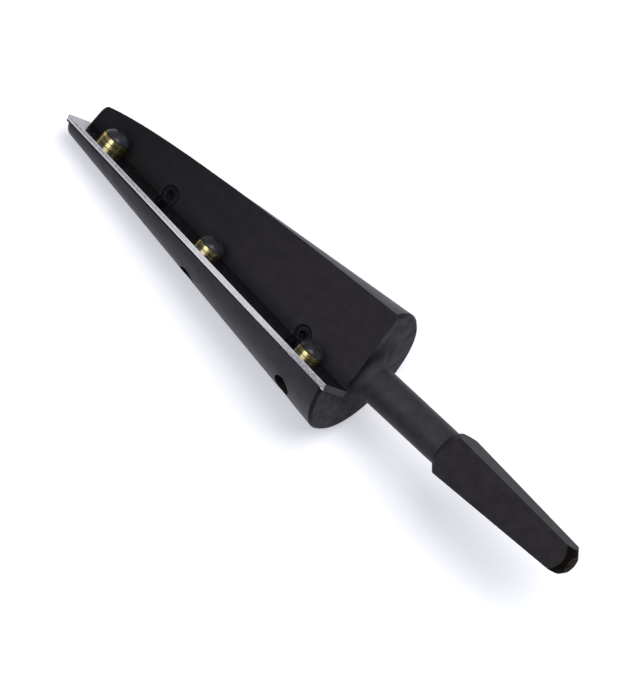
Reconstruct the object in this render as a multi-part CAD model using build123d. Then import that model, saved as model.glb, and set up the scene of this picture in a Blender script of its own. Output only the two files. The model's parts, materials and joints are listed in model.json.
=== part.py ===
from build123d import *
from build123d.topology import SkipClean
from math import atan, cos, degrees, radians, sqrt, tan
import os

# Taper reamer with one inserted blade, turned by its square tang.
# Tool frame: X runs along the tool's axis from the tip to the tang, with x = 0 at the rim of the big
# end. Y is the way the blade's cutting face looks and Z points out of the notch floor.
# At the end everything is turned as one to lie on its side on the ground plane z = 0.

# Turned body, whose length and tip diameter are those at the end of the cutting edge
body_length = 130.1
big_diameter = 47.9
tip_diameter = 16.33
tip_waste = 2.0
tip_round = 1.8
rim_chamfer = 1.0
crown_height = 0.5
crown_land = 0.1
root_radius = 4.5

# Round shank and tapered square tang
shank_diameter = 12.7
shank_reach = 37.1
tang_length = 56.2
tang_big_square = 14.7
tang_small_square = 9.6
tang_shoulder_angle = 45.0
tang_end_angle = 48.0
tang_end_diameter = 5.6
tang_end_chamfer = 0.4

# Notch, and where the blade's face stands behind the axis at the big end
rake_offset = 6.5
floor_depth = 14.6
blade_slot_depth = 0.6

# Blade
blade_thickness = 2.4
edge_stand = 0.3
bevel_angle = 31.0
blade_tip_overhang = 0.2
blade_rear_overhang = 0.6
blade_travel = 0.8
clamp_slot_width = 5.2
back_cut_length = 5.5
back_cut_height = 1.6

# Clamp screws with domed heads, through the blade into the body
clamp_thread_d = 4.8
clamp_length = 9.5
clamp_head_d = 9.0
clamp_head_height = 2.6
clamp_head_rim = 0.5
clamp_head_flat_d = 4.7
clamp_hex = 3.2
clamp_hex_depth = 1.7
clamp_pitch = 50.8
clamp_height = 4.85
clamp_tip_margin = 13.9
thread_reach = 5.0
relief_bore_d = 7.0

# Brass washers
washer_d = 9.5
washer_bore = 5.2
washer_thickness = 1.6
washer_chamfer = 0.2

# Adjusting screws under the blade's back edge
adjust_d = 6.35
adjust_length = 6.4
adjust_hex = 3.2
adjust_hex_depth = 2.6
adjust_offset = 2.0
adjust_mouth_chamfer = 0.45
adjust_tip_gap = 24.8
adjust_rear_gap = 8.5
adjust_hole_spare = 0.6

# Clearances
running_gap = 0.05
face_gap = 0.02
screw_end_chamfer = 0.4

# How the tool lies: the angle about X from Y to its heavy side, and the width of the narrow strip along
# the cone there, which is a face of its own
heavy_angle = -117.05
strip_angle = 8.0

# Sizes that follow
big_r = big_diameter / 2
tip_r = tip_diameter / 2
shank_r = shank_diameter / 2
taper = (big_r - tip_r) / body_length
half_angle = degrees(atan(taper))
apex_distance = big_r / taper
far = 3 * big_r
edge_height = floor_depth + edge_stand
slot_width = blade_thickness + running_gap

# Seat frame: x along the cutting edge towards the tang, y along the face's normal, z out of the floor.
# Its origin is where the blade's face meets the floor, below the edge's point at the rim.
apex = Vector(-apex_distance, 0, 0)
edge_at_rim = Vector(0, -rake_offset, sqrt(big_r**2 - rake_offset**2))
edge_way = (edge_at_rim - apex).normalized()
out_way = (Vector(0, 0, 1) - edge_way * edge_way.Z).normalized()
seat = Plane(origin=edge_at_rim - out_way * floor_depth, x_dir=edge_way, z_dir=out_way)

# Stations along the seat's x, all negative towards the tip
edge_length = body_length / edge_way.X
blade_tip_end = -edge_length - blade_tip_overhang
back_cut_above_slot = back_cut_length * (1 - blade_slot_depth / back_cut_height)
slot_start = blade_tip_end + back_cut_above_slot - face_gap
clamp_stations = {
    "tip": blade_tip_end + clamp_tip_margin,
    "middle": blade_tip_end + clamp_tip_margin + clamp_pitch,
    "rear": blade_tip_end + clamp_tip_margin + 2 * clamp_pitch,
}
washer_names = {
    "tip": ("tip_washer_1", "tip_washer_2"),
    "middle": ("middle_washer",),
    "rear": ("rear_washer",),
}
adjust_stations = {
    "tip": clamp_stations["tip"] + adjust_tip_gap,
    "rear": clamp_stations["rear"] - adjust_rear_gap,
}


def rounded(face, x, y, radius):
    """The face with a fillet at its corner nearest to x, y."""
    corner = face.vertices().sort_by_distance(Vector(x, y, 0))[0]
    return fillet(corner, radius)


def cut_corner(face, x, y, length):
    """The face with a chamfer at its corner nearest to x, y."""
    corner = face.vertices().sort_by_distance(Vector(x, y, 0))[0]
    return chamfer(corner, length)


def turned_body():
    """Cone, crowned end and round shank in one piece, with the tip cut square to the cutting edge."""
    crown_r = shank_r + root_radius + crown_land
    face = make_face(
        Polyline(
            (-body_length - tip_waste, 0),
            (-body_length - tip_waste, tip_r - taper * tip_waste),
            (0, big_r),
            (crown_height, crown_r),
            (crown_height, shank_r),
            (shank_reach, shank_r),
            (shank_reach, 0),
            close=True,
        )
    )
    face = cut_corner(face, 0, big_r, rim_chamfer)
    face = rounded(face, crown_height, shank_r, root_radius)
    body = revolve(face, Axis.X)
    beyond = (Align.MAX, Align.CENTER, Align.CENTER)
    body -= seat * Pos(-edge_length, 0, 0) * Box(far, far, far, align=beyond)
    tip_face = body.faces().sort_by(Axis(seat.origin, seat.x_dir))[0]
    body = fillet(tip_face.edges(), tip_round)
    half_plane = Rectangle(apex_distance, far, align=(Align.MAX, Align.MIN))
    wedge = Rot(heavy_angle - strip_angle / 2, 0, 0) * revolve(half_plane, Axis.X, strip_angle)
    with SkipClean():
        return (body & wedge).fuse(body - wedge)


def square_tang():
    """Square taper, with both ends turned to a cone before its four flats are cut."""
    start = shank_reach
    end = start + tang_length
    end_r = tang_end_diameter / 2
    blank_r = tang_big_square / sqrt(2)
    shoulder_length = (blank_r - shank_r) / tan(radians(tang_shoulder_angle))
    cone_length = (blank_r - end_r) / tan(radians(tang_end_angle))
    blank = make_face(
        Polyline(
            (start, 0),
            (start, shank_r),
            (start + shoulder_length, blank_r),
            (end - cone_length, blank_r),
            (end, end_r),
            (end, 0),
            close=True,
        )
    )
    blank = cut_corner(blank, end, end_r, tang_end_chamfer)
    tang = revolve(blank, Axis.X)
    flat_angle = degrees(atan((tang_big_square - tang_small_square) / (2 * tang_length)))
    waste = Box(3 * tang_length, far, far, align=(Align.CENTER, Align.CENTER, Align.MIN))
    for quarter in range(4):
        tang -= Rot(90 * quarter, 0, 0) * Pos(start, 0, tang_big_square / 2) * Rot(0, flat_angle, 0) * waste
    return tang


def on_face(station, height):
    """Plane on the blade's cutting face whose z points away from the face."""
    place = seat.from_local_coords(Vector(station, 0, height))
    return Plane(origin=place, x_dir=seat.x_dir, z_dir=seat.y_dir)


def on_floor(station, offset, depth=0.0):
    """Plane at a depth under the notch floor whose z points out of the floor."""
    place = seat.from_local_coords(Vector(station, offset, -depth))
    return Plane(origin=place, x_dir=seat.x_dir, z_dir=seat.z_dir)


def notch():
    """All that is milled out: the open notch and the narrow slot for the blade's back edge."""
    corner = (Align.MIN, Align.MIN, Align.MIN)
    start = Location((-edge_length - far, -slot_width, 0))
    opening = seat * start * Box(edge_length + 2 * far, far, far, align=corner)
    low_start = Location((slot_start, -slot_width, -blade_slot_depth))
    slot = seat * low_start * Box(far - slot_start, slot_width, 2 * blade_slot_depth, align=corner)
    return opening + slot


def clamp_hole(station):
    """Tapped hole square to the blade's face, opened out beyond the thread's reach."""
    place = on_face(station, clamp_height)
    tapped = Cylinder(clamp_thread_d / 2 + running_gap, far, align=(Align.CENTER, Align.CENTER, Align.MAX))
    relief = Cylinder(relief_bore_d / 2, far, align=(Align.CENTER, Align.CENTER, Align.MAX))
    return place * (tapped + Pos(0, 0, -slot_width - thread_reach) * relief)


def adjust_hole(station):
    """Blind tapped hole that breaks into the blade's slot, with a chamfered mouth."""
    radius = adjust_d / 2 + running_gap
    depth = blade_slot_depth + adjust_length + adjust_hole_spare
    down = (Align.CENTER, Align.CENTER, Align.MAX)
    hole = Cylinder(radius, depth, align=down)
    mouth = Cone(radius, radius + adjust_mouth_chamfer, adjust_mouth_chamfer, align=down)
    return on_floor(station, adjust_offset) * (hole + mouth)


def reamer_body():
    """Turned steel body with its tang, notch and screw holes, and the strip kept as its own face."""
    turned = turned_body()
    tang = square_tang()
    waste = [notch()]
    waste += [clamp_hole(station) for station in clamp_stations.values()]
    waste += [adjust_hole(station) for station in adjust_stations.values()]
    with SkipClean():
        return turned.fuse(tang).cut(*waste)


def blade():
    """Flat ground blade, slotted for its clamp screws, with its back corner cut away at the tip."""
    back_height = edge_height - blade_thickness * tan(radians(bevel_angle))
    profile_plane = Plane(
        origin=seat.from_local_coords(Vector(blade_tip_end, 0, 0)), x_dir=seat.y_dir, z_dir=seat.x_dir
    )
    profile = make_face(
        Polyline(
            (0, -blade_slot_depth),
            (0, edge_height),
            (-blade_thickness, back_height),
            (-blade_thickness, -blade_slot_depth),
            close=True,
        )
    )
    steel = extrude(profile_plane * profile, blade_rear_overhang - blade_tip_end)
    wedge = make_face(Polyline((0, 0), (back_cut_length, 0), (0, -back_cut_height), close=True))
    steel -= extrude(on_face(blade_tip_end, -blade_slot_depth) * wedge, 2 * blade_thickness, both=True)
    for station in clamp_stations.values():
        slot = SlotCenterToCenter(blade_travel, clamp_slot_width, rotation=90)
        middle = on_face(station, clamp_height - blade_travel / 2)
        steel -= extrude(middle * slot, 2 * blade_thickness, both=True)
    return steel


def hex_socket(across_flats, depth):
    """Six-sided socket that opens upwards at z = 0."""
    return extrude(RegularPolygon(across_flats / 2, 6, major_radius=False), -depth)


def clamp_screw():
    """Domed hexagon socket screw with its head's underside at z = 0 and its thread below."""
    head_r = clamp_head_d / 2
    flat_r = clamp_head_flat_d / 2
    thread_r = clamp_thread_d / 2
    dome_rise = clamp_head_height - clamp_head_rim
    dome_centre = (clamp_head_height + clamp_head_rim - (head_r**2 - flat_r**2) / dome_rise) / 2
    dome_r = sqrt(head_r**2 + (clamp_head_rim - dome_centre) ** 2)
    dome = Pos(0, 0, dome_centre) * Sphere(dome_r)
    up = (Align.CENTER, Align.CENTER, Align.MIN)
    down = (Align.CENTER, Align.CENTER, Align.MAX)
    head = Cylinder(head_r, clamp_head_height, align=up) & dome
    thread = Cylinder(thread_r, clamp_length, align=down)
    thread = chamfer(thread.edges().sort_by(Axis.Z)[0], screw_end_chamfer)
    return head + thread - Pos(0, 0, clamp_head_height) * hex_socket(clamp_hex, clamp_hex_depth)


def washer():
    """Thick brass washer with a broken upper edge, from z = 0 up."""
    base = (Align.CENTER, Align.CENTER, Align.MIN)
    ring = Cylinder(washer_d / 2, washer_thickness, align=base)
    ring = chamfer(ring.edges().sort_by(Axis.Z)[-1], washer_chamfer)
    return ring - Cylinder(washer_bore / 2, 3 * washer_thickness)


def adjust_screw():
    """Headless hexagon socket screw with its top at z = 0."""
    down = (Align.CENTER, Align.CENTER, Align.MAX)
    stud = Cylinder(adjust_d / 2, adjust_length, align=down)
    stud = chamfer(stud.edges().filter_by(GeomType.CIRCLE), screw_end_chamfer)
    return stud - hex_socket(adjust_hex, adjust_hex_depth)


def all_pieces():
    """Every piece by name in the tool frame."""
    pieces = {"reamer_body": reamer_body(), "blade": blade()}
    for name, station in clamp_stations.items():
        lift = face_gap
        for node in washer_names[name]:
            pieces[node] = on_face(station, clamp_height) * Pos(0, 0, lift) * washer()
            lift += washer_thickness + face_gap
        pieces[f"{name}_clamp_screw"] = on_face(station, clamp_height) * Pos(0, 0, lift) * clamp_screw()
    for name, station in adjust_stations.items():
        seat_top = on_floor(station, adjust_offset, blade_slot_depth + face_gap)
        pieces[f"{name}_adjust_screw"] = seat_top * adjust_screw()
    return pieces


def lying_place(pieces):
    """Turns the heavy side down, lays the cone on its side and centres the tool on the origin."""
    turned = Rot(0, -half_angle, 0) * Rot(-90 - heavy_angle, 0, 0)
    box = Compound([turned * solid for solid in pieces.values()]).bounding_box()
    rise = big_r * cos(radians(half_angle))
    return Pos(-box.center().X, -box.center().Y, rise) * turned


pieces = all_pieces()
place = lying_place(pieces)
os.makedirs("parts", exist_ok=True)
for node, solid in pieces.items():
    export_step(place * solid, f"parts/{node}.step")
print("pitch", round(half_angle, 3), "edge way", edge_way, "out way", out_way)
print("place", place)
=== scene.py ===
import json
import math

import bpy
from mathutils import Matrix, Quaternion, Vector


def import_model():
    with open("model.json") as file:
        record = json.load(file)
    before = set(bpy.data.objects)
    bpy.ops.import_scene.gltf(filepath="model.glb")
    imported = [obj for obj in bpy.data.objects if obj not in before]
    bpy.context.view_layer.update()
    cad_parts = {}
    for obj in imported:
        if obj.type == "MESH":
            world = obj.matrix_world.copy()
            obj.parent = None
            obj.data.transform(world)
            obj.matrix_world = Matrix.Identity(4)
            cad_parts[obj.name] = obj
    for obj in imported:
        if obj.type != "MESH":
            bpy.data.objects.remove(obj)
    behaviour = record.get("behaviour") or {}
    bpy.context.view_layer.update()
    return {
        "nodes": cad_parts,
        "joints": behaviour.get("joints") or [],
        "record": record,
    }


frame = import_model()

# The taper reamer's finishes, with the paper that it lies on, the lamps and the camera.
# Lengths are in metres, and the camera's angles in degrees.
MM = 0.001

# Camera, for an image of 640 by 690 pixels
IMAGE_HEIGHT_PX = 690
FOCAL_PX = 7920.7
SENSOR_MM = 36.0
CAMERA_AZIMUTH = 40.316
CAMERA_ELEVATION = 70.317
CAMERA_ROLL = 6.286
CAMERA_DISTANCE = 2.50663
CAMERA_AIM = (0.001340, -0.002769, 0.019979)
CAMERA_CLIP_END = 20.0

# Paper floor: its side, and how much of its own white it shows
FLOOR_SIZE = 6.0
FLOOR_GLOW = 0.43

# Places along the tool's axis from the cone's rim, and a radius about the axis
RIM_WIDTH = 1.05 * MM
SHANK_END = 37.1 * MM
RIM_TO_TANG_MIDDLE = 65.2 * MM
TANG_CONE_START = 86.4 * MM
TANG_END = 93.3 * MM
ROOT_RADIUS = 6.41 * MM

# Sizes of the seat, the blade and what holds it
CLAMP_BORE_RADIUS = 3.6 * MM
ADJUST_BORE_RADIUS = 3.7 * MM
THREAD_PITCH = 0.794 * MM
WASHER_STEP = 1.62 * MM
BLADE_THICKNESS = 2.4 * MM
BLADE_LENGTH = 131.85 * MM
TIP_TO_CLAMP = 13.9 * MM
FLOOR_BELOW_CLAMP = 4.85 * MM
FLOOR_TOLERANCE = 0.01 * MM

# Radius to which edges are softened, on the body and on its small parts
BODY_EDGE = 0.18 * MM
FINE_EDGE = 0.08 * MM

# The blade's ground bevel: width of the dark band at the tip, and how far from it its border runs
BAND_WIDTH = 0.70 * MM
BAND_TO_BORDER = 0.2 * MM

# Cosines between a face's normal and a direction, for faces that look straight, mostly or partly
# that way, and for the tang's flats, which taper
STRAIGHT = 0.999
TAPERED = 0.998
MOSTLY = 0.9
PARTLY = 0.3

# Colours that are worked into other ones
# Near black for painted shade, in the notch and round the shank's root
PAINTED_SHADE = (0.002, 0.002, 0.0025)
SHANK_TONE = (0.028, 0.026, 0.029)
WORN_OXIDE = (0.10, 0.10, 0.11)
RUBBED_SCREW = (0.11, 0.11, 0.12)
RUST = (0.07, 0.026, 0.011)
GRINDING_LINE = (0.40, 0.39, 0.41)
BRIGHT_BORDER = (0.76, 0.75, 0.76)
# Light grey for a painted reflection along the middle of the blade's bevel
PAINTED_REFLECTION = (0.95, 0.93, 0.91)
DARK_BAND = (0.03, 0.03, 0.033)
BRASS_RING = (0.20, 0.15, 0.06)
# Dark brass for painted shade in the washers' joints
BRASS_JOINT_SHADE = (0.04, 0.033, 0.012)

nodes = frame["nodes"]
mounts = {mount["name"]: mount for mount in frame["record"]["mounts"]}
joints = {joint["name"]: joint for joint in frame["joints"]}

# A point on the axis of each screw
adjust_screws = [Vector(joints[f"{name}_adjust_turn"]["pos_m"]) for name in ("tip", "rear")]
clamp_screws = [
    Vector(joints[f"{name}_clamp_turn"]["pos_m"]) for name in ("tip", "middle", "rear")
]

# Tool frame: along the axis, to the side that the blade's face looks to, and out of the notch
AXIS = Vector(mounts["square_tang"]["axis"]).normalized()
OUT = Vector(joints["blade_set_out"]["axis"]).normalized()
FACE = Vector(joints["tip_clamp_lift"]["axis"]).normalized()
EDGE = FACE.cross(OUT)
UP = (OUT * EDGE.dot(AXIS) - EDGE * OUT.dot(AXIS)).normalized()
SIDE = UP.cross(AXIS)
RIM = Vector(mounts["square_tang"]["pos_m"]) - AXIS * RIM_TO_TANG_MIDDLE
TOOL_TURN = Matrix((AXIS, SIDE, UP)).transposed()

# Seat frame: along the cutting edge, out of the blade's face, and out of the notch floor
TIP_CLAMP = clamp_screws[0]
SEAT = TIP_CLAMP - OUT * FLOOR_BELOW_CLAMP
SEAT_TURN = Matrix((EDGE, FACE, OUT)).transposed()


class Finish:
    """A principled material, with short calls for the nodes that give it its detail."""

    def __init__(self, name, roughness=0.5, metallic=0.0, specular=0.5):
        self.material = bpy.data.materials.new(name)
        self.material.use_nodes = True
        self.tree = self.material.node_tree
        self.shader = self.tree.nodes["Principled BSDF"]
        self.shader.inputs["Roughness"].default_value = roughness
        self.shader.inputs["Metallic"].default_value = metallic
        self.shader.inputs["Specular IOR Level"].default_value = specular

    def add(self, kind, feeds=None, **settings):
        """A new node with its settings, its sockets fed by other sockets or set to values."""
        node = self.tree.nodes.new("ShaderNode" + kind)
        for name, value in settings.items():
            setattr(node, name, value)
        for key, value in (feeds or {}).items():
            self.feed(node.inputs[key], value)
        return node

    def feed(self, socket, value):
        """A socket linked to another one, or set to a value."""
        if isinstance(value, bpy.types.NodeSocket):
            self.tree.links.new(value, socket)
        else:
            socket.default_value = value

    def math(self, operation, first, second=0.0):
        return self.add("Math", {0: first, 1: second}, operation=operation).outputs[0]

    def place(self, origin, turn):
        """Coordinates in a turned frame, fixed to the piece."""
        source = self.add("TexCoord").outputs["Object"]
        feeds = {"Vector": source, "Location": origin, "Rotation": turn.to_euler()}
        return self.add("Mapping", feeds, vector_type="TEXTURE").outputs["Vector"]

    def stretch(self, place, x, y, z):
        """Coordinates times a factor along each axis. The larger it is, the finer the pattern."""
        return self.add("Mapping", {"Vector": place, "Scale": (x, y, z)}).outputs["Vector"]

    def split(self, place):
        return self.add("SeparateXYZ", {"Vector": place}).outputs

    def from_axis(self, place):
        """Distance from a frame's X axis."""
        across = self.stretch(place, 0.0, 1.0, 1.0)
        return self.add("VectorMath", {0: across}, operation="LENGTH").outputs["Value"]

    def noise(self, place, scale=1.0, detail=2.0, roughness=0.5):
        feeds = {"Vector": place, "Scale": scale, "Detail": detail, "Roughness": roughness}
        return self.add("TexNoise", feeds).outputs["Fac"]

    def fit(self, value, low, high, to_low=0.0, to_high=1.0):
        """A value between low and high, smoothly brought to another range."""
        feeds = {
            "Value": value, "From Min": low, "From Max": high, "To Min": to_low, "To Max": to_high,
        }
        return self.add("MapRange", feeds, interpolation_type="SMOOTHSTEP").outputs["Result"]

    def vary(self, noise, to_low=0.0, to_high=1.0):
        """A noise, which lies mostly between 0.3 and 0.7, brought to another range."""
        return self.fit(noise, 0.3, 0.7, to_low, to_high)

    def mix(self, factor, first, second):
        """Colours mixed by a factor."""
        node = self.add("Mix", {"Factor": factor}, data_type="RGBA")
        for socket, value in ((node.inputs[6], first), (node.inputs[7], second)):
            linked = isinstance(value, bpy.types.NodeSocket)
            self.feed(socket, value if linked else (*value, 1.0))
        return node.outputs[2]

    def soft_edges(self, radius):
        """The normal, rounded over along edges."""
        return self.add("Bevel", {"Radius": radius}, samples=6).outputs["Normal"]

    def edge_mask(self, normal):
        """0 to 1 as the softened normal leans 6 to 32 degrees from the true one, along edges."""
        true_normal = self.add("NewGeometry").outputs["True Normal"]
        feeds = {0: normal, 1: true_normal}
        lean = self.add("VectorMath", feeds, operation="DOT_PRODUCT").outputs["Value"]
        return self.fit(lean, 0.995, 0.85)

    def bump(self, height, distance, strength, normal=None):
        feeds = {"Height": height, "Distance": distance, "Strength": strength}
        if normal is not None:
            feeds["Normal"] = normal
        return self.add("Bump", feeds).outputs["Normal"]

    def surface(self, colour, roughness, normal):
        """The material, with its colour, roughness and normal linked."""
        self.feed(self.shader.inputs["Base Color"], colour)
        self.feed(self.shader.inputs["Roughness"], roughness)
        self.feed(self.shader.inputs["Normal"], normal)
        return self.material


def black_oxide(
    name, dark, light, marks, roughness=(0.4, 0.5), specular=0.2, mottle=250.0, wear=0.45,
    shade=None,
):
    """Blackened steel: uneven colour, worn edges, and machining marks from stretched noise.

    marks is the frame that the marks follow, as its origin and turn, and their stretch in it.
    """
    finish = Finish(name, specular=specular)
    origin, turn, stretch = marks
    place = finish.place(origin, turn)
    clouds = finish.noise(place, scale=mottle, detail=4.0, roughness=0.6)
    grain = finish.noise(place, scale=9000.0, roughness=0.7)
    lines = finish.noise(finish.stretch(place, *stretch), detail=3.0, roughness=0.6)
    soft = finish.soft_edges(BODY_EDGE)
    worn = finish.math("MULTIPLY", finish.edge_mask(soft), finish.fit(clouds, 0.35, 0.6, 0.35, 1.0))
    colour = finish.mix(finish.fit(clouds, 0.32, 0.68), dark, light)
    colour = finish.mix(finish.fit(lines, 0.35, 0.65, 0.0, 0.22), colour, light)
    if shade is not None:
        colour = shade(finish, colour)
    colour = finish.mix(finish.math("MULTIPLY", worn, wear), colour, WORN_OXIDE)
    height = finish.math("ADD", lines, finish.math("MULTIPLY", grain, 0.6))
    normal = finish.bump(height, 0.002 * MM, 0.6, soft)
    return finish.surface(colour, finish.vary(grain, *roughness), normal)


def notch_shade(finish, colour):
    """Painted shade darkens the notch floor along the blade and towards the tip."""
    place = finish.place(SEAT, SEAT_TURN)
    parts = finish.split(place)
    uneven = finish.vary(finish.noise(place, scale=180.0, detail=3.0), -0.6 * MM, 0.6 * MM)
    across = finish.math("ADD", parts["Y"], uneven)
    # Painted shade: darker towards the tip and beside the blade's face
    towards_tip = finish.fit(parts["X"], -10.0 * MM, 100.0 * MM, 0.7, 0.0)
    beside_blade = finish.fit(across, -1.0 * MM, 6.0 * MM, 0.75, 0.0)
    return finish.mix(beside_blade, finish.mix(towards_tip, colour, PAINTED_SHADE), PAINTED_SHADE)


def root_shade(finish, colour):
    """The big end is darker round the root of the shank, partly its oxide's tone and partly painted
    shade in the fillet's corner, and meets the shank in its own tone.
    """
    radius = finish.from_axis(finish.place(RIM, TOOL_TURN))
    # Partly the oxide's own tone and partly painted shade, darkest at the root
    colour = finish.mix(finish.fit(radius, 9.0 * MM, 16.0 * MM, 0.8, 0.0), colour, PAINTED_SHADE)
    return finish.mix(finish.fit(radius, 6.4 * MM, 8.2 * MM, 1.0, 0.0), colour, SHANK_TONE)


def end_rust(finish, colour):
    """Brown rust at the outer edge of the tang's end."""
    place = finish.place(RIM, TOOL_TURN)
    patches = finish.noise(place, scale=700.0, detail=3.0, roughness=0.6)
    near_end = finish.fit(finish.split(place)["X"], TANG_END - 0.5 * MM, TANG_END - 0.35 * MM)
    outside = finish.fit(finish.from_axis(place), 2.4 * MM, 2.65 * MM)
    rust = finish.math("MULTIPLY", near_end, outside)
    rust = finish.math("MULTIPLY", rust, finish.fit(patches, 0.4, 0.6, 0.1, 0.8))
    return finish.mix(rust, colour, RUST)


def bore_wall():
    """Walls of the screw holes, threaded, and darker than the body's oxide as painted shade."""
    finish = Finish("bore_black", specular=0.05)
    place = finish.place(TIP_CLAMP, SEAT_TURN)
    turns = finish.math("MULTIPLY", finish.split(place)["Y"], 1.0 / THREAD_PITCH)
    crests = finish.math("PINGPONG", turns, 0.5)
    dirt_and_shade = finish.noise(place, scale=1500.0, detail=3.0)
    # Near black tones paint shade on the holes' walls, with a dirty mottle
    colour = finish.mix(finish.vary(dirt_and_shade), (0.004, 0.004, 0.005), (0.012, 0.011, 0.012))
    rough = finish.vary(dirt_and_shade, 0.45, 0.6)
    return finish.surface(colour, rough, finish.bump(crests, 0.2 * MM, 0.8))


def ground_bevel():
    """The blade's ground back: fine lines along the edge, bright borders, a painted reflection
    that lightens the middle stretch, and a dark band at its foot that narrows away from the tip."""
    finish = Finish("ground_bevel", metallic=1.0)
    place = finish.place(SEAT, SEAT_TURN)
    parts = finish.split(place)
    along, across = parts["X"], parts["Y"]
    lines = finish.noise(finish.stretch(place, 60.0, 9000.0, 9000.0), detail=3.0, roughness=0.7)
    flecks = finish.noise(place, scale=1700.0, detail=4.0, roughness=0.75)
    steel = finish.mix(finish.fit(flecks, 0.38, 0.62), (0.12, 0.115, 0.125), (0.54, 0.525, 0.55))
    steel = finish.mix(finish.fit(lines, 0.35, 0.65, 0.0, 0.3), steel, GRINDING_LINE)

    band = finish.fit(along, -TIP_TO_CLAMP, BLADE_LENGTH - TIP_TO_CLAMP, BAND_WIDTH, 0.0)
    inside_band = finish.math("SUBTRACT", band, finish.math("ADD", across, BLADE_THICKNESS))
    from_lower = finish.math("ABSOLUTE", finish.math("ADD", inside_band, BAND_TO_BORDER))
    from_border = finish.math("MINIMUM", from_lower, finish.math("ABSOLUTE", across))
    border = finish.fit(from_border, 0.1 * MM, 0.35 * MM, 0.7, 0.0)
    steel = finish.mix(border, steel, BRIGHT_BORDER)

    # Painted reflection: the middle stretch of the bevel is lighter
    rising = finish.fit(along, 15.0 * MM, 60.0 * MM, 0.0, 0.45)
    falling = finish.fit(along, 85.0 * MM, 108.0 * MM, 1.0, 0.0)
    steel = finish.mix(finish.math("MULTIPLY", rising, falling), steel, PAINTED_REFLECTION)

    dark = finish.fit(inside_band, -0.04 * MM, 0.04 * MM)
    colour = finish.mix(dark, steel, DARK_BAND)
    height = finish.math("ADD", lines, finish.math("MULTIPLY", flecks, 0.7))
    normal = finish.bump(height, 0.004 * MM, 0.6, finish.soft_edges(FINE_EDGE))
    return finish.surface(colour, finish.vary(flecks, 0.32, 0.46), normal)


def ground_steel(name, light, roughness, edge_tint=1.0):
    """The blade's flat faces, ground or lapped, with fine lines along the edge."""
    finish = Finish(name, metallic=1.0)
    finish.shader.inputs["Specular Tint"].default_value = (edge_tint, edge_tint, edge_tint, 1.0)
    place = finish.place(SEAT, SEAT_TURN)
    lines = finish.noise(finish.stretch(place, 60.0, 200.0, 9000.0), detail=3.0, roughness=0.6)
    haze = finish.noise(place, scale=300.0, detail=3.0, roughness=0.6)
    shade = tuple(0.8 * part for part in light)
    colour = finish.mix(finish.vary(haze), shade, light)
    rough = finish.vary(lines, roughness, roughness + 0.08)
    normal = finish.bump(lines, 0.0012 * MM, 0.15, finish.soft_edges(FINE_EDGE))
    return finish.surface(colour, rough, normal)


def screw_black(name, dark, light, roughness, specular, wear):
    """Glossy blackened screws, smooth from heading, with rubbed edges."""
    finish = Finish(name, specular=specular)
    place = finish.place(TIP_CLAMP, SEAT_TURN)
    clouds = finish.noise(place, scale=350.0, detail=3.0)
    grain = finish.noise(place, scale=3000.0, roughness=0.6)
    soft = finish.soft_edges(FINE_EDGE)
    colour = finish.mix(finish.vary(clouds), dark, light)
    rubbed = finish.math("MULTIPLY", finish.edge_mask(soft), wear)
    colour = finish.mix(rubbed, colour, RUBBED_SCREW)
    rough = finish.vary(clouds, roughness, roughness + 0.1)
    return finish.surface(colour, rough, finish.bump(grain, 0.0015 * MM, 0.4, soft))


def brass():
    """Turned brass with fine rings round it, slight tarnish, and painted shade in the washers'
    joints.
    """
    finish = Finish("turned_brass", metallic=1.0)
    finish.shader.inputs["Specular Tint"].default_value = (0.35, 0.32, 0.26, 1.0)
    place = finish.place(TIP_CLAMP, SEAT_TURN)
    rings = finish.noise(finish.stretch(place, 20.0, 1800.0, 20.0), detail=1.0)
    clouds = finish.noise(place, scale=220.0, detail=3.0, roughness=0.6)
    colour = finish.mix(finish.vary(clouds), (0.52, 0.42, 0.15), (0.80, 0.70, 0.36))
    colour = finish.mix(finish.fit(rings, 0.45, 0.7, 0.0, 0.3), colour, BRASS_RING)
    # Painted shade in the joints between the washers
    from_joint = finish.math("PINGPONG", finish.split(place)["Y"], 0.5 * WASHER_STEP)
    dirt_and_shade = finish.fit(from_joint, 0.05 * MM, 0.25 * MM, 0.8, 0.0)
    colour = finish.mix(dirt_and_shade, colour, BRASS_JOINT_SHADE)
    rough = finish.vary(rings, 0.17, 0.22)
    return finish.surface(colour, rough, finish.bump(rings, 0.002 * MM, 0.03))


def floor_material():
    """White paper that shows its own white to the camera and in mirrors."""
    finish = Finish("paper", roughness=0.85, specular=0.1)
    fibres = finish.noise(finish.add("TexCoord").outputs["Object"], scale=60.0, detail=3.0)
    paper = finish.mix(fibres, (0.55, 0.55, 0.565), (0.575, 0.575, 0.59))
    path = finish.add("LightPath").outputs
    seen = finish.math("MAXIMUM", path["Is Camera Ray"], path["Is Glossy Ray"])
    seen = finish.math("MAXIMUM", seen, path["Is Transmission Ray"])
    glow = finish.math("MULTIPLY", seen, FLOOR_GLOW)
    finish.feed(finish.shader.inputs["Base Color"], paper)
    finish.feed(finish.shader.inputs["Emission Color"], (0.91, 0.93, 1.0, 1.0))
    finish.feed(finish.shader.inputs["Emission Strength"], glow)
    return finish.material


def line_distance(point, origin, direction):
    """Distance from a point to a line."""
    offset = point - origin
    return (offset - direction * offset.dot(direction)).length


def in_screw_hole(centre, normal):
    """Whether a face of the body is a wall or the outer step of one of the screw holes."""
    looks = normal.dot(FACE)
    for origin in clamp_screws:
        within = line_distance(centre, origin, FACE) < CLAMP_BORE_RADIUS
        if within and (abs(looks) < PARTLY or looks < -MOSTLY):
            return True
    for origin in adjust_screws:
        within = line_distance(centre, origin, OUT) < ADJUST_BORE_RADIUS
        below_floor = (centre - origin).dot(OUT) < FLOOR_TOLERANCE
        if within and below_floor and normal.dot(OUT) < STRAIGHT:
            return True
    return False


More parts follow.
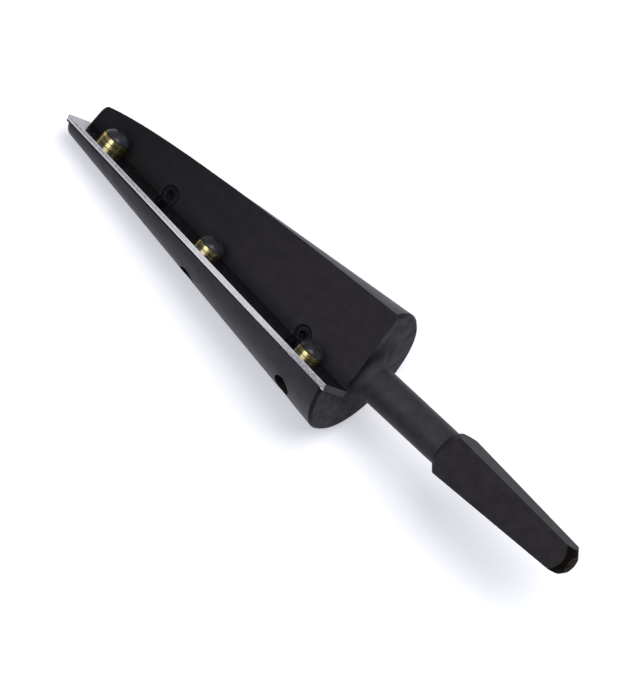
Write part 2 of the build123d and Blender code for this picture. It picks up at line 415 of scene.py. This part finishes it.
def body_part(centre, normal):
    """Which finish a face of the body takes."""
    if in_screw_hole(centre, normal):
        return "bore"
    along = (centre - RIM).dot(AXIS)
    # Flats of the tang look the same way as the notch's two faces, so the place counts too
    if along < 0.0 and max(normal.dot(OUT), normal.dot(FACE)) > STRAIGHT:
        return "notch"
    if along > SHANK_END:
        flat = max(abs(normal.dot(UP)), abs(normal.dot(SIDE))) > TAPERED
        return "tang_end" if along > TANG_CONE_START and not flat else "flats"
    if along > 0.0:
        return "end_face" if line_distance(centre, RIM, AXIS) > ROOT_RADIUS else "shank"
    return "rim" if along > -RIM_WIDTH and normal.dot(AXIS) > PARTLY else "cone"


def blade_part(_, normal):
    """Which finish a face of the blade takes."""
    if normal.dot(FACE) > STRAIGHT:
        return "face"
    if abs(normal.dot(EDGE)) > MOSTLY:
        return "end"
    if normal.dot(OUT) > PARTLY and normal.dot(FACE) < -PARTLY:
        return "bevel"
    return "side"


def dress_faces(node, finishes, part_of):
    """Gives each face of a node the finish that part_of names, from its centre and normal."""
    order = list(finishes)
    mesh = nodes[node].data
    mesh.materials.clear()
    for name in order:
        mesh.materials.append(finishes[name])
    for face in mesh.polygons:
        part = part_of(Vector(face.center), Vector(face.normal))
        face.material_index = order.index(part)


def dress_body():
    rings = (RIM, TOOL_TURN, (5200.0, 20.0, 20.0))
    milled = (SEAT, SEAT_TURN, (40.0, 2600.0, 2600.0))
    crossed = (RIM, TOOL_TURN, (3000.0, 60.0, 60.0))
    finishes = {
        "cone": black_oxide(
            "turned_cone", dark=(0.0142, 0.0124, 0.0172), light=(0.0214, 0.0189, 0.0265),
            marks=rings, specular=0.16,
        ),
        "rim": black_oxide(
            "turned_rim", dark=(0.008, 0.0075, 0.009), light=(0.016, 0.015, 0.019),
            marks=rings, specular=0.03,
        ),
        "shank": black_oxide(
            "turned_shank", dark=(0.0190, 0.0175, 0.0200), light=(0.0270, 0.0255, 0.0285),
            marks=rings, specular=0.11,
        ),
        "end_face": black_oxide(
            "turned_end", dark=(0.013, 0.012, 0.015), light=(0.041, 0.038, 0.049),
            marks=rings, roughness=(0.5, 0.7), specular=0.05, mottle=230.0, shade=root_shade,
        ),
        "notch": black_oxide(
            "milled_notch", dark=(0.0118, 0.0100, 0.0130), light=(0.0166, 0.0142, 0.0182),
            marks=milled, specular=0.14, wear=0.08, shade=notch_shade,
        ),
        "flats": black_oxide(
            "ground_flats", dark=(0.015, 0.0132, 0.015), light=(0.021, 0.0185, 0.021),
            marks=crossed, roughness=(0.5, 0.6), specular=0.05, wear=0.0,
        ),
        "tang_end": black_oxide(
            "tang_end", dark=(0.003, 0.0027, 0.0027), light=(0.005, 0.0045, 0.0045),
            marks=rings, specular=0.01, wear=0.1, shade=end_rust,
        ),
        "bore": bore_wall(),
    }
    dress_faces("reamer_body", finishes, body_part)


def dress_blade():
    crossed = (SEAT, SEAT_TURN, (60.0, 3000.0, 60.0))
    finishes = {
        "bevel": ground_bevel(),
        "face": ground_steel(
            "lapped_face", light=(0.47, 0.47, 0.50), roughness=0.12, edge_tint=0.62
        ),
        "end": black_oxide(
            "blade_end", dark=(0.010, 0.010, 0.013), light=(0.022, 0.022, 0.029),
            marks=crossed, roughness=(0.35, 0.45), specular=0.12,
        ),
        "side": ground_steel("ground_side", light=(0.45, 0.45, 0.48), roughness=0.3),
    }
    dress_faces("blade", finishes, blade_part)


def dress_fasteners():
    """Finishes for the screws and washers, by the words in their nodes' names."""
    finishes = {
        "clamp_screw": screw_black(
            "clamp_screw_black", dark=(0.012, 0.0125, 0.015), light=(0.022, 0.023, 0.028),
            roughness=0.2, specular=0.2, wear=0.4,
        ),
        "adjust_screw": screw_black(
            "adjust_screw_black", dark=(0.004, 0.004, 0.005), light=(0.009, 0.009, 0.011),
            roughness=0.12, specular=0.15, wear=0.6,
        ),
        "washer": brass(),
    }
    for node in nodes:
        for word, material in finishes.items():
            if word in node:
                nodes[node].data.materials.clear()
                nodes[node].data.materials.append(material)


def floor():
    bpy.ops.mesh.primitive_plane_add(size=FLOOR_SIZE, location=(0.0, 0.0, 0.0))
    paper = bpy.context.object
    paper.name = "floor"
    paper.data.materials.append(floor_material())


def soft_box(name, towards, distance, size, power, colour):
    """A square area lamp that looks at the object from a direction."""
    light = bpy.data.lights.new(name, "AREA")
    light.shape = "SQUARE"
    light.size = size
    light.energy = power
    light.color = colour
    lamp = bpy.data.objects.new(name, light)
    bpy.context.scene.collection.objects.link(lamp)
    away = Vector(towards).normalized()
    lamp.location = away * distance
    lamp.rotation_mode = "QUATERNION"
    lamp.rotation_quaternion = (-away).to_track_quat("-Z", "Y")


def world(colour, strength, dark_way, dark_strength, dark_cosines):
    """Soft light from all round, weaker round one direction, and plain white to the camera."""
    scene = bpy.context.scene
    scene.world = bpy.data.worlds.new("studio")
    scene.world.use_nodes = True
    tree = scene.world.node_tree
    new, link = tree.nodes.new, tree.links.new
    lean = new("ShaderNodeVectorMath")
    lean.operation = "DOT_PRODUCT"
    lean.inputs[1].default_value = Vector(dark_way).normalized()
    link(new("ShaderNodeTexCoord").outputs["Generated"], lean.inputs[0])

    fade = new("ShaderNodeMapRange")
    fade.interpolation_type = "SMOOTHSTEP"
    fade.inputs["From Min"].default_value, fade.inputs["From Max"].default_value = dark_cosines
    fade.inputs["To Min"].default_value = strength
    fade.inputs["To Max"].default_value = dark_strength
    link(lean.outputs["Value"], fade.inputs["Value"])

    room = tree.nodes["Background"]
    room.inputs["Color"].default_value = (*colour, 1.0)
    link(fade.outputs["Result"], room.inputs["Strength"])
    wall = new("ShaderNodeBackground")
    wall.inputs["Color"].default_value = (1.0, 1.0, 1.0, 1.0)
    shown = new("ShaderNodeMixShader")
    link(new("ShaderNodeLightPath").outputs["Is Camera Ray"], shown.inputs[0])
    link(room.outputs["Background"], shown.inputs[1])
    link(wall.outputs["Background"], shown.inputs[2])
    link(shown.outputs["Shader"], tree.nodes["World Output"].inputs["Surface"])


def camera():
    azimuth = math.radians(CAMERA_AZIMUTH)
    elevation = math.radians(CAMERA_ELEVATION)
    level = math.cos(elevation)
    back = Vector((math.sin(azimuth) * level, -math.cos(azimuth) * level, math.sin(elevation)))
    data = bpy.data.cameras.new("camera")
    data.sensor_width = SENSOR_MM
    data.lens = FOCAL_PX * SENSOR_MM / IMAGE_HEIGHT_PX
    data.clip_end = CAMERA_CLIP_END
    view = bpy.data.objects.new("camera", data)
    bpy.context.scene.collection.objects.link(view)
    view.location = Vector(CAMERA_AIM) + back * CAMERA_DISTANCE
    view.rotation_mode = "QUATERNION"
    roll = Quaternion((0.0, 0.0, 1.0), math.radians(CAMERA_ROLL))
    view.rotation_quaternion = (-back).to_track_quat("-Z", "Y") @ roll
    bpy.context.scene.camera = view


dress_body()
dress_blade()
dress_fasteners()

floor()
world(
    colour=(0.80, 0.86, 1.0), strength=0.27,
    dark_way=(0.45, -0.50, 0.74), dark_strength=0.04, dark_cosines=(0.6, 0.9),
)
soft_box(
    "key", towards=(0.22, 0.30, 1.0), distance=2.3, size=1.6, power=62.0,
    colour=(1.0, 0.99, 0.98),
)
soft_box(
    "window", towards=(-0.18, -0.40, 0.90), distance=2.2, size=1.4, power=19.0,
    colour=(0.98, 0.99, 1.0),
)
camera()
bpy.context.scene.view_settings.view_transform = "Standard"
